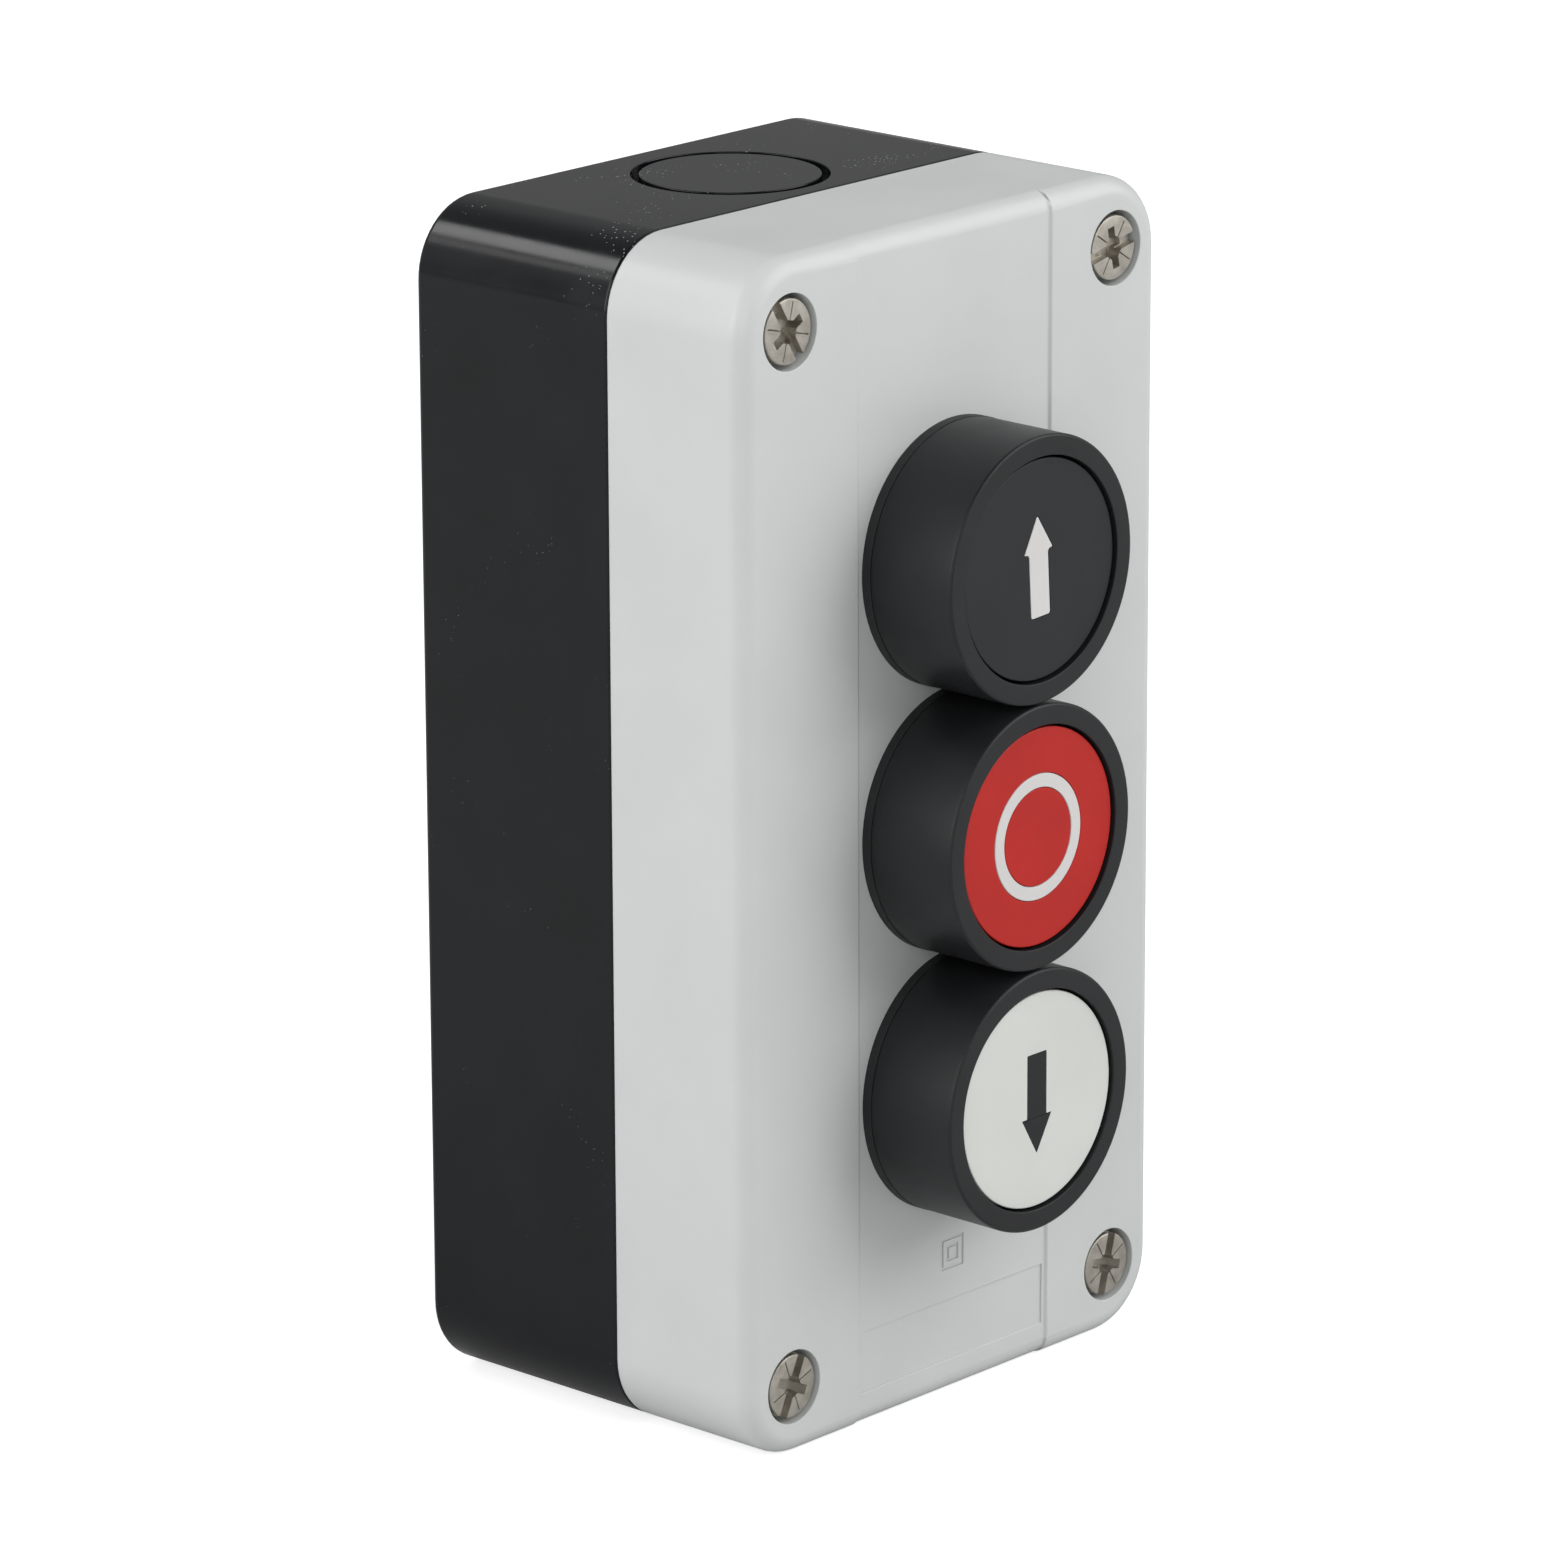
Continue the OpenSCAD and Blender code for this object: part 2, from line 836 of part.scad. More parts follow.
module plunger_spring() {
    color([0.7, 0.7, 0.72])
        coil(
            plunger_spring_r, block_wire, plunger_turns,
            cavity_floor_at + touch_gap, plunger_end_at - touch_gap
        );
}

// Bridge with a round tip under or over each end.
module bridge(s) {
    from = bridge_at(s);
    tip_from = station_opens[s] ? from + bridge_t : from - tip_t;
    color([0.8, 0.65, 0.35]) {
        bar(0, 0, bridge_len, bridge_w, from, from + bridge_t);
        at_ends_x()
            rod(tip_x, 0, tip_d, tip_from, tip_from + tip_t);
    }
}

module bridge_spring(s) {
    color([0.7, 0.7, 0.72])
        if (station_opens[s])
            coil(
                bridge_spring_r, block_wire, bridge_turns,
                window_from(s) + touch_gap, bridge_at(s) - touch_gap
            );
        else
            coil(
                bridge_spring_r, block_wire, bridge_turns,
                bridge_at(s) + bridge_t + touch_gap, window_to(s) - touch_gap
            );
}

// Terminal plate of one end. A contact that closes has a flat plate, and one that opens has a raised arm.
module terminal_plate(s) {
    outer_x = block_len / 2 - plate_end_gap;
    inner_x = tip_x - tip_d / 2;
    riser_x = bridge_len / 2 + riser_gap;
    low_x = station_opens[s] ? riser_x : inner_x;
    difference() {
        bar((low_x + outer_x) / 2, 0, outer_x - low_x, plate_w, pocket_at, plate_top_at);
        rod(
            terminal_x, 0, terminal_screw_d + 2 * terminal_hole_gap,
            pocket_at - over, plate_top_at + over
        );
    }
    if (station_opens[s]) {
        bar(riser_x + plate_t / 2, 0, plate_t, plate_w, pocket_at, arm_at + plate_t);
        bar(
            (inner_x + riser_x + plate_t) / 2, 0, riser_x + plate_t - inner_x, plate_w,
            arm_at, arm_at + plate_t
        );
        rod(tip_x, 0, tip_d, arm_at - tip_t, arm_at);
    } else {
        rod(tip_x, 0, tip_d, plate_top_at, plate_top_at + tip_t);
    }
}

module terminals(s) {
    color([0.82, 0.68, 0.38])
        at_ends_x()
            terminal_plate(s);
}

module terminal_saddles() {
    color([0.75, 0.75, 0.72])
        at_ends_x()
            difference() {
                bar(terminal_x, 0, saddle_x, saddle_z, plate_top_at, plate_top_at + saddle_t);
                rod(
                    terminal_x, 0, terminal_screw_d + 2 * terminal_hole_gap,
                    plate_top_at - over, plate_top_at + saddle_t + over
                );
            }
}

module terminal_screws() {
    head_at = plate_top_at + saddle_t;
    top_at = head_at + terminal_head_h;
    color([0.75, 0.75, 0.72])
        at_ends_x()
            difference() {
                union() {
                    rod(terminal_x, 0, terminal_head_d, head_at, top_at);
                    rod(
                        terminal_x, 0, terminal_screw_d,
                        cavity_floor_at + end_gap, head_at + terminal_slot_depth
                    );
                }
                for (a = [0, 90])
                    translate([terminal_x, 0, 0])
                        rotate([0, a, 0])
                            bar(
                                0, 0, terminal_head_d + 2 * over, terminal_slot_w,
                                top_at - terminal_slot_depth, top_at + over
                            );
            }
}

base();
cover();
cover_gasket();
cover_screws();
cover_screw_seals();

for (s = station_ids) {
    name = station_names[s];
    at_station(s) bezel();
    at_station(s) panel_gasket();
    at_station(s) fixing_nut();
    at_station(s) cap(s);
    at_station(s) symbol(s);
    at_station(s) stem();
    at_station(s) stem_seal();
    at_station(s) return_spring();
    at_station(s) contact_base(s);
    at_station(s) contact_cover();
    at_station(s) plunger(s);
    at_station(s) plunger_spring();
    at_station(s) bridge(s);
    at_station(s) bridge_spring(s);
    at_station(s) terminals(s);
    at_station(s) terminal_saddles();
    at_station(s) terminal_screws();
}
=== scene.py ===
import math

import bmesh
import bpy
from mathutils import Matrix, Vector


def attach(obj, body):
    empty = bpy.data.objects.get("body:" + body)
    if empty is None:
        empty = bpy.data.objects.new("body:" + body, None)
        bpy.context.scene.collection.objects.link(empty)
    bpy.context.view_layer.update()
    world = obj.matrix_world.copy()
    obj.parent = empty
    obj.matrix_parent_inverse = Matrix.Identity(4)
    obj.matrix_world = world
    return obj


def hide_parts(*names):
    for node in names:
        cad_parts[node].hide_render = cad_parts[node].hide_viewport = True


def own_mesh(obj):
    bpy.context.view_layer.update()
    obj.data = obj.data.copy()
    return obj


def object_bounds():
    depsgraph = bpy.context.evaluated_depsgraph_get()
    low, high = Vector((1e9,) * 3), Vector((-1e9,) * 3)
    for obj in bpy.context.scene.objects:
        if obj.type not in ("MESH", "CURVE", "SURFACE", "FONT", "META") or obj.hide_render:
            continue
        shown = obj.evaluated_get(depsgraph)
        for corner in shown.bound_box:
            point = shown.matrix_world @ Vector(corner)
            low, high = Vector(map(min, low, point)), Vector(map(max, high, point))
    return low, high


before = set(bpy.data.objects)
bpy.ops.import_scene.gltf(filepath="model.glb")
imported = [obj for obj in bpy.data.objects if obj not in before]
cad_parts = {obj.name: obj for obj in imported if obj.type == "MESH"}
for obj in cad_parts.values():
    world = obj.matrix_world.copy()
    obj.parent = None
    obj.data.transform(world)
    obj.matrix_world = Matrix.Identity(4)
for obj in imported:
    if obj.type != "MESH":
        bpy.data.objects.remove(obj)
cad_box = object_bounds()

# Camera. The station stands upright and is seen from its front left and a little above, from about
# a metre away, through a long lens. Sizes are in millimetres, and MM turns them into metres.
MM = 0.001
view_turn, view_rise, view_roll = (math.radians(a) for a in (-47.978, 16.471, -0.141))
view_distance, aim_depth = 940.775, 30
focal_length, film_width = 195.26, 36
scene = bpy.context.scene
scene.view_settings.view_transform = "Standard"
back = Vector((
    math.sin(view_turn) * math.cos(view_rise),
    -math.cos(view_turn) * math.cos(view_rise),
    math.sin(view_rise),
))
level = Vector((math.cos(view_turn), math.sin(view_turn), 0))
upright = back.cross(level)
right = level * math.cos(view_roll) + upright * math.sin(view_roll)
up = upright * math.cos(view_roll) - level * math.sin(view_roll)
camera = bpy.data.objects.new("camera", bpy.data.cameras.new("camera"))
camera.data.sensor_fit = "HORIZONTAL"
camera.data.sensor_width = film_width
camera.data.lens = focal_length
camera.data.shift_x = -0.0308
camera.data.shift_y = 0.00066
stand = Matrix((right, up, back)).transposed().to_4x4()
stand.translation = Vector((0, -aim_depth * MM, 0)) + back * view_distance * MM
camera.matrix_world = stand
scene.collection.objects.link(camera)
scene.camera = camera

# Floor. A wide sheet of matt pale board that the station stands on. It shows as white to the
# camera, through a glow that only the camera sees, and keeps the station's shadow.
board_half, board_glow = 4000, 0.72


def linear(code):
    shares = [int(code[i:i + 2], 16) / 255 for i in (1, 3, 5)]
    return tuple(s / 12.92 if s <= 0.04045 else ((s + 0.055) / 1.055) ** 2.4 for s in shares) + (1,)


def add_node(tree, kind, inputs=None, **settings):
    node = tree.nodes.new(kind)
    for name, value in settings.items():
        setattr(node, name, value)
    for name, value in (inputs or {}).items():
        if isinstance(value, bpy.types.NodeSocket):
            tree.links.new(value, node.inputs[name])
        else:
            node.inputs[name].default_value = value
    return node


def new_material(name, inputs):
    material = bpy.data.materials.new(name)
    material.use_nodes = True
    tree = material.node_tree
    tree.nodes.clear()
    shader = add_node(tree, "ShaderNodeBsdfPrincipled", inputs)
    return material, tree, shader


def show(tree, shader):
    add_node(tree, "ShaderNodeOutputMaterial", {"Surface": shader.outputs[0]})


def new_piece(bm, name, material):
    mesh = bpy.data.meshes.new(name)
    bm.to_mesh(mesh)
    bm.free()
    mesh.materials.append(material)
    piece = bpy.data.objects.new(name, mesh)
    scene.collection.objects.link(piece)
    return piece


board, tree, shader = new_material("board_matt_pale_grey", {
    "Base Color": linear("#cbcbca"), "Roughness": 0.9, "Specular IOR Level": 0.1,
})
light_path = add_node(tree, "ShaderNodeLightPath")
lift = add_node(tree, "ShaderNodeMath", {
    0: light_path.outputs["Is Camera Ray"], 1: board_glow,
}, operation="MULTIPLY")
glow = add_node(tree, "ShaderNodeEmission", {"Strength": lift.outputs[0]})
show(tree, add_node(tree, "ShaderNodeAddShader", {0: shader.outputs[0], 1: glow.outputs[0]}))
bm = bmesh.new()
bmesh.ops.create_grid(bm, x_segments=1, y_segments=1, size=board_half * MM)
bmesh.ops.translate(bm, verts=bm.verts, vec=(0, 0, cad_box[0][2]))
floor = new_piece(bm, "floor", board)

# Room light. The room is white to the camera, and gloss and metal mirror it as grey walls and a dark
# ceiling. It lights softly from all round. Lamps stand at the left, the right front and, weaker, the
# left front, and three behind on the left make a fading glint on the rounded corner of the base.
horizon_light, ceiling_light = 0.48, 0.43
world = bpy.data.worlds.new("white_room")
scene.world = world
world.use_nodes = True
tree = world.node_tree
tree.nodes.clear()
light_path = add_node(tree, "ShaderNodeLightPath")
direct = add_node(tree, "ShaderNodeMath", {
    0: light_path.outputs["Is Camera Ray"], 1: light_path.outputs["Is Transmission Ray"],
}, operation="MAXIMUM")
seen = add_node(tree, "ShaderNodeMath", {
    0: direct.outputs[0], 1: light_path.outputs["Is Glossy Ray"],
}, operation="MAXIMUM")
toward = add_node(tree, "ShaderNodeSeparateXYZ", {
    0: add_node(tree, "ShaderNodeTexCoord").outputs["Generated"],
})
# The mirrored greys run from the horizon at 0 to overhead at 1: pale, greyer, pale again, then dark.
mirrored = add_node(tree, "ShaderNodeValToRGB", {0: toward.outputs["Z"]})
greys = mirrored.color_ramp.elements
greys[0].position, greys[0].color = 0.02, (0.42, 0.42, 0.42, 1)
greys[1].position, greys[1].color = 0.85, (0.1, 0.1, 0.1, 1)
for at, grey in ((0.2, 0.25), (0.35, 0.25), (0.6, 0.38)):
    greys.new(at).color = (grey, grey, grey, 1)
bright = add_node(tree, "ShaderNodeMath", {
    0: direct.outputs[0], 1: mirrored.outputs[0],
}, operation="MAXIMUM")
white = add_node(tree, "ShaderNodeBackground", {"Color": (1, 1, 1, 1), "Strength": bright.outputs[0]})
fade = add_node(tree, "ShaderNodeMapRange", {
    "Value": toward.outputs["Z"], "To Min": horizon_light, "To Max": ceiling_light,
})
soft = add_node(tree, "ShaderNodeBackground", {"Color": linear("#fdfdff"), "Strength": fade.outputs[0]})
mixed = add_node(tree, "ShaderNodeMixShader", {0: seen.outputs[0], 1: soft.outputs[0], 2: white.outputs[0]})
add_node(tree, "ShaderNodeOutputWorld", {"Surface": mixed.outputs[0]})


# A lamp faces the station. Its place and size are in metres, and its brightness is what it gives to
# white paper held up to it at the station, so it doesn't change with the lamp's distance.
def soft_lamp(name, place, width, height, brightness):
    lamp = bpy.data.lights.new(name, "AREA")
    lamp.shape = "RECTANGLE"
    lamp.size, lamp.size_y = width, height
    lamp.energy = brightness * (math.pi * Vector(place).length) ** 2
    holder = bpy.data.objects.new(name, lamp)
    holder.matrix_world = Matrix.LocRotScale(place, Vector(place).to_track_quat("Z", "Y"), None)
    holder.visible_camera = False
    scene.collection.objects.link(holder)


soft_lamp("lamp_left", (-1.8, 0.63, 0.675), 1.35, 1.35, 0.445)
soft_lamp("lamp_right_front", (0.68, -0.87, 0.69), 1.3, 1.2, 0.725)
soft_lamp("lamp_front_left", (-0.96, -0.87, 0.38), 0.8, 0.8, 0.185)
soft_lamp("lamp_back_left", (-0.485, 0.807, 0.916), 0.6, 0.215, 0.105)
soft_lamp("lamp_back_left_low", (-0.58, 0.925, 0.75), 0.6, 0.13, 0.025)
soft_lamp("lamp_back_left_faint", (-0.67, 1.03, 0.47), 0.6, 0.5, 0.018)

# Rear base. One injection moulding of glossy black polycarbonate, open to the front, with the screw
# posts, the seats of the contact blocks and a round knockout in each end. It carries all the rest.
body_w, body_h, corner_r = 68, 134, 8.5
base_depth, body_depth = 28.5, 48.1
knockout_r, knockout_at = 11, 15.2
back_rounding, joint_rounding, knockout_rounding = 1, 0.3, 0.12
speck_spacing, dust_patch = 0.6, 7
speck_low, speck_high = 0.07, 0.18
touch, weld = 0.01, 0.002
facet_angle, edge_angle, crease_angle = (math.radians(a) for a in (0.3, 35, 50))


# A moulded plastic or rubber. Its colour runs from low to high and its roughness from smooth to rough
# over soft patches. Patch, grain and relief are the patch's width and the skin's grain and depth.
def moulded(name, low, high, patch, smooth, rough, grain, relief, specular=0.5):
    material, tree, shader = new_material(name, {"IOR": 1.5, "Specular IOR Level": specular})
    place = add_node(tree, "ShaderNodeTexCoord").outputs["Object"]
    flow = add_node(tree, "ShaderNodeTexNoise", {"Vector": place, "Scale": 1 / (patch * MM), "Detail": 4})
    tint = add_node(tree, "ShaderNodeValToRGB", {0: flow.outputs[0]})
    for stop, at, code in zip(tint.color_ramp.elements, (0.3, 0.7), (low, high)):
        stop.position, stop.color = at, linear(code)
    gloss = add_node(tree, "ShaderNodeMapRange", {
        "Value": flow.outputs[0], "From Min": 0.3, "From Max": 0.7, "To Min": smooth, "To Max": rough,
    })
    sand = add_node(tree, "ShaderNodeTexNoise", {"Vector": place, "Scale": 1 / (grain * MM), "Detail": 3})
    skin = add_node(tree, "ShaderNodeBump", {"Height": sand.outputs[0], "Distance": relief * MM})
    for socket, node in (("Base Color", tint), ("Roughness", gloss), ("Normal", skin)):
        tree.links.new(node.outputs[0], shader.inputs[socket])
    show(tree, shader)
    return material


def shader_of(material):
    return next(node for node in material.node_tree.nodes if node.type == "BSDF_PRINCIPLED")


# A copy of a CAD solid's mesh, with its loose triangles joined into whole flat faces.
def merged_copy(node):
    bm = bmesh.new()
    bm.from_mesh(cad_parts[node].data)
    bmesh.ops.remove_doubles(bm, verts=bm.verts, dist=weld * MM)
    bmesh.ops.dissolve_limit(bm, angle_limit=facet_angle, verts=bm.verts, edges=bm.edges)
    return bm


# Rounds the sharp edges whose two ends are both chosen, or of these only the ones that run in depth.
def round_edges(bm, width, steps, chosen, in_depth=False):
    edges = [
        e for e in bm.edges
        if len(e.link_faces) == 2 and e.calc_face_angle(0) > edge_angle
        and all(chosen(v.co / MM) for v in e.verts)
        and (not in_depth or (e.verts[0].co - e.verts[1].co).xz.length < 1e-6)
    ]
    bmesh.ops.bevel(
        bm, geom=edges, offset=width * MM, offset_type="OFFSET", segments=steps, profile=0.5,
        affect="EDGES", clamp_overlap=True, material=-1,
    )


# Whether a point lies on the outer wall of the housing, with its four rounded corners.
def outside(co):
    x, z = abs(co.x) - body_w / 2 + corner_r, abs(co.z) - body_h / 2 + corner_r
    reach = math.hypot(x, z) if x > 0 and z > 0 else max(x, z)
    return abs(reach - corner_r) < touch


# Makes the mesh a piece that shades evenly across its roundings and stands for a CAD node.
def fit(bm, name, material, body, node):
    for face in bm.faces:
        face.smooth = True
    for edge in bm.edges:
        edge.smooth = len(edge.link_faces) == 2 and edge.calc_face_angle(0) < crease_angle
    piece = new_piece(bm, name, material)
    normals = piece.modifiers.new("even_normals", "WEIGHTED_NORMAL")
    normals.keep_sharp = True
    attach(piece, body)
    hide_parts(node)
    return piece


# Moulded in a polished tool, so it is deep black and mirrors the lamps with only a slight blur.
base_black = moulded("polycarbonate_glossy_black", "#0c0e10", "#101215", 9, 0.12, 0.2, 0.5, 0.003, 0.34)
# A few specks of dust, 0.1 to 0.2 mm across and thickest on the upper end, show pale on the gloss.
# Each lies in the middle of a cell of a pattern, and its size is a share of the cells' spacing.
tree = base_black.node_tree
shader = shader_of(base_black)
place = add_node(tree, "ShaderNodeTexCoord").outputs["Object"]
cells = add_node(tree, "ShaderNodeTexVoronoi", {"Vector": place, "Scale": 1 / (speck_spacing * MM)})
patch = add_node(tree, "ShaderNodeTexNoise", {"Vector": place, "Scale": 1 / (dust_patch * MM), "Detail": 3})
normal = add_node(tree, "ShaderNodeNewGeometry").outputs["Normal"]
facing = add_node(tree, "ShaderNodeSeparateXYZ", {0: normal})
upward = add_node(tree, "ShaderNodeMapRange", {
    "Value": facing.outputs["Z"], "To Min": speck_low, "To Max": speck_high,
})
dusty = add_node(tree, "ShaderNodeMapRange", {"Value": patch.outputs[0], "From Min": 0.5, "From Max": 0.66})
reach = add_node(tree, "ShaderNodeMath", {
    0: upward.outputs[0], 1: dusty.outputs[0],
}, operation="MULTIPLY")
speck = add_node(tree, "ShaderNodeMath", {
    0: cells.outputs["Distance"], 1: reach.outputs[0],
}, operation="LESS_THAN")
# Sockets 6 and 7 of a colour mix are its two colours, and its output 2 is the mixed one.
tint = shader.inputs["Base Color"].links[0].from_socket
dusted = add_node(tree, "ShaderNodeMix", data_type="RGBA")
for socket, value in ((0, speck.outputs[0]), (6, tint)):
    tree.links.new(value, dusted.inputs[socket])
dusted.inputs[7].default_value = linear("#8f9294")
tree.links.new(dusted.outputs[2], shader.inputs["Base Color"])
bm = merged_copy("base")
round_edges(bm, back_rounding, 5, lambda co: abs(co.y) < touch and outside(co))
round_edges(bm, joint_rounding, 2, lambda co: abs(co.y + base_depth) < touch and outside(co))
round_edges(bm, knockout_rounding, 2, lambda co: (
    abs(abs(co.z) - body_h / 2) < touch and math.hypot(co.x, co.y + knockout_at) < knockout_r + 0.1
))
fit(bm, "rear_base", base_black, "enclosure", "base")

# Cover gasket. A square cord of soft grey rubber, pressed into the groove in the rim of the base,
# where the cover squeezes it and keeps water and dust out. It is matt, with a slight bloom.
rubber_grey = moulded("rubber_soft_grey", "#434446", "#4a4b4d", 3, 0.7, 0.85, 0.3, 0.01, 0.3)
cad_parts["cover_gasket"].material_slots[0].material = rubber_grey

# Front cover. One moulding of light grey ABS, whose fine grain gives it an even satin look. A strip
# with slightly sloped sides is sunk down its middle for the operators, with a bare label field and a
# faint double square at its foot.
screw_x, screw_z = 26.5, 59
counterbore_r, counterbore_rounding = 4.2, 0.1
strip_half, strip_at, strip_slope, strip_rounding = 15.6, 47.8, 0.2, 0.17
label_half, label_low, label_high, label_rounding = 15.2, -63, -56, 0.1
cover_grey = moulded("abs_satin_light_grey", "#c7cac9", "#cbcecc", 14, 0.34, 0.4, 0.45, 0.006)
bm = merged_copy("cover")
round_edges(bm, joint_rounding, 2, lambda co: abs(co.y + base_depth) < touch and outside(co))
round_edges(bm, counterbore_rounding, 2, lambda co: (
    abs(co.y + body_depth) < touch
    and abs(math.hypot(abs(co.x) - screw_x, abs(co.z) - screw_z) - counterbore_r) < 0.05
))
# The sides of the strip stand square in the solid. Their outer lines move outwards to slope them.
for v in bm.verts:
    on_line = abs(abs(v.co.x) - strip_half * MM) < touch * MM
    if on_line and any(abs(e.other_vert(v).co.x) > (strip_half + 0.1) * MM for e in v.link_edges):
        v.co.x += math.copysign(strip_slope * MM, v.co.x)
# A cut across each end of the sides, from the outer line to the foot, is what the rounding ends on.
for top in [v for v in bm.verts if abs(abs(v.co.x) - (strip_half + strip_slope) * MM) < touch * MM]:
    if abs(top.co.y + body_depth * MM) < touch * MM:
        below = Vector((math.copysign(strip_half, top.co.x), -strip_at, top.co.z / MM)) * MM
        foot = next(v for v in bm.verts if (v.co - below).length < 2 * touch * MM)
        side = next(f for f in top.link_faces if foot in f.verts)
        bmesh.utils.face_split(side, top, foot)
for at, line in ((body_depth, strip_half + strip_slope), (strip_at, strip_half)):
    round_edges(bm, strip_rounding, 3, lambda co: abs(co.y + at) < touch and abs(abs(co.x) - line) < touch)
round_edges(bm, label_rounding, 2, lambda co: (
    abs(co.y + strip_at) < touch and label_low - touch < co.z < label_high + touch
    and abs(co.x) < label_half + touch
))
fit(bm, "front_cover", cover_grey, "enclosure", "cover")

# Cover screws. Four cheese-head machine screws of nickel-plated steel. Each head has a slot across
# it, a deeper cross recess and four fine marks between its arms, and is driven to its own turn.
head_r, head_under, head_top, head_rounding = 3.6, 45.4, 47.8, 0.15
shank_r, neck_r, tip_r, shank_end = 2, 1.9, 1.5, 16.5
thread_start, thread_pitch, thread_depth, thread_turns = 0.4, 0.7, 0.3, 16
screw_turns = (-31, 78, 25, 15)
# Each cut has its length, width, depth and turn, and the shares of the first two that its floor keeps.
recess_cuts = {
    "slot": (7.6, 1.3, 0.96, 90, 1, 0.94),
    "first_arm": (5.6, 1.22, 1.6, 0, 0.7, 0.8),
    "second_arm": (5.6, 1.22, 1.6, 90, 0.7, 0.8),
    "middle": (2.8, 2.8, 1.5, 45, 0.8, 0.8),
    "first_marks": (6.5, 0.3, 0.25, 45, 1, 0.1),
    "second_marks": (6.5, 0.3, 0.25, 135, 1, 0.1),
}


# A closed profile of radii and depths, turned once round the axis that runs in depth.
def turned(profile, steps=128):
    bm = bmesh.new()
    points = [bm.verts.new((r * MM, -at * MM, 0)) for r, at in profile]
    lines = [bm.edges.new(pair) for pair in zip(points, points[1:] + points[:1])]
    bmesh.ops.spin(
        bm, geom=points + lines, cent=(0, 0, 0), axis=(0, 1, 0), angle=2 * math.pi, steps=steps,
        use_merge=True,
    )
    bmesh.ops.remove_doubles(bm, verts=bm.verts, dist=1e-7)
    bmesh.ops.recalc_face_normals(bm, faces=bm.faces)
    return bm


def ring_at(r, at):
    return lambda co: abs(math.hypot(co.x, co.z) - r) < 2 * touch and abs(co.y + at) < touch


# A bare or plated metal. Its colour and roughness vary together over soft patches.
def metal(name, low, high, patch, smooth, rough, detail=4):
    material, tree, shader = new_material(name, {"Metallic": 1})
    place = add_node(tree, "ShaderNodeTexCoord").outputs["Object"]
    cloud = add_node(tree, "ShaderNodeTexNoise", {
        "Vector": place, "Scale": 1 / (patch * MM), "Detail": detail,
    })
    tint = add_node(tree, "ShaderNodeValToRGB", {0: cloud.outputs[0]})
    for stop, at, code in zip(tint.color_ramp.elements, (0.3, 0.7), (low, high)):
        stop.position, stop.color = at, linear(code)
    dull = add_node(tree, "ShaderNodeMapRange", {
        "Value": cloud.outputs[0], "To Min": smooth, "To Max": rough,
    })
    for socket, node in (("Base Color", tint), ("Roughness", dull)):
        tree.links.new(node.outputs[0], shader.inputs[socket])
    show(tree, shader)
    return material


# Nickel plate is a warm, softly clouded grey, and the tumbled heads have fine dents in it.
nickel = metal("steel_nickel_plated", "#aba69c", "#c4bfb6", 1.5, 0.36, 0.56)
tree = nickel.node_tree
place = add_node(tree, "ShaderNodeTexCoord").outputs["Object"]
dents = add_node(tree, "ShaderNodeTexNoise", {"Vector": place, "Scale": 1 / (0.2 * MM), "Detail": 3})
skin = add_node(tree, "ShaderNodeBump", {"Height": dents.outputs[0], "Distance": 0.06 * MM})
tree.links.new(skin.outputs[0], shader_of(nickel).inputs["Normal"])

profile = [(0, shank_end), (tip_r, shank_end)]
for i in range(thread_turns):
    at = shank_end + thread_start + i * thread_pitch
    profile += [(shank_r - thread_depth, at), (shank_r, at + thread_pitch / 2)]
profile += [(neck_r, at + thread_pitch), (neck_r, head_under), (head_r, head_under)]
profile += [(head_r, head_top), (0, head_top)]
bm = turned(profile, 64)
round_edges(bm, head_rounding, 3, ring_at(head_r, head_top))
blank = new_piece(bm, "screw_blank", nickel)
cutters = []
for cut, (length, width, depth, turn, shorter, narrower) in recess_cuts.items():
    bm = bmesh.new()
    bmesh.ops.create_cube(bm, size=1)
    bmesh.ops.scale(bm, verts=bm.verts, vec=(length * MM, 2 * depth * MM, width * MM))
    inner = [v for v in bm.verts if v.co.y > 0]
    bmesh.ops.scale(bm, verts=inner, vec=(shorter, 1, narrower))
    bmesh.ops.rotate(bm, verts=bm.verts, matrix=Matrix.Rotation(math.radians(turn), 3, "Y"))
    bmesh.ops.translate(bm, verts=bm.verts, vec=(0, -head_top * MM, 0))
    cutter = new_piece(bm, f"{cut}_cutter", nickel)
    carve = blank.modifiers.new(cut, "BOOLEAN")
    carve.object, carve.solver = cutter, "EXACT"
    cutters.append(cutter)
bpy.context.view_layer.update()
bm = bmesh.new()
bm.from_object(blank, bpy.context.evaluated_depsgraph_get())
for leftover in cutters + [blank]:
    bpy.data.objects.remove(leftover)
screw = bpy.data.meshes.new("screw")
bm.to_mesh(screw)
bm.free()
bm = bmesh.new()
for i, turn in enumerate(screw_turns):
    before = set(bm.verts)
    bm.from_mesh(screw)
    new = [v for v in bm.verts if v not in before]
    bmesh.ops.rotate(bm, verts=new, matrix=Matrix.Rotation(math.radians(turn), 3, "Y"))
    x, z = (-1 if i % 2 == 0 else 1) * screw_x, (1 if i < 2 else -1) * screw_z
    bmesh.ops.translate(bm, verts=new, vec=(x * MM, 0, z * MM))
fit(bm, "machine_screws", nickel, "enclosure", "cover_screws")

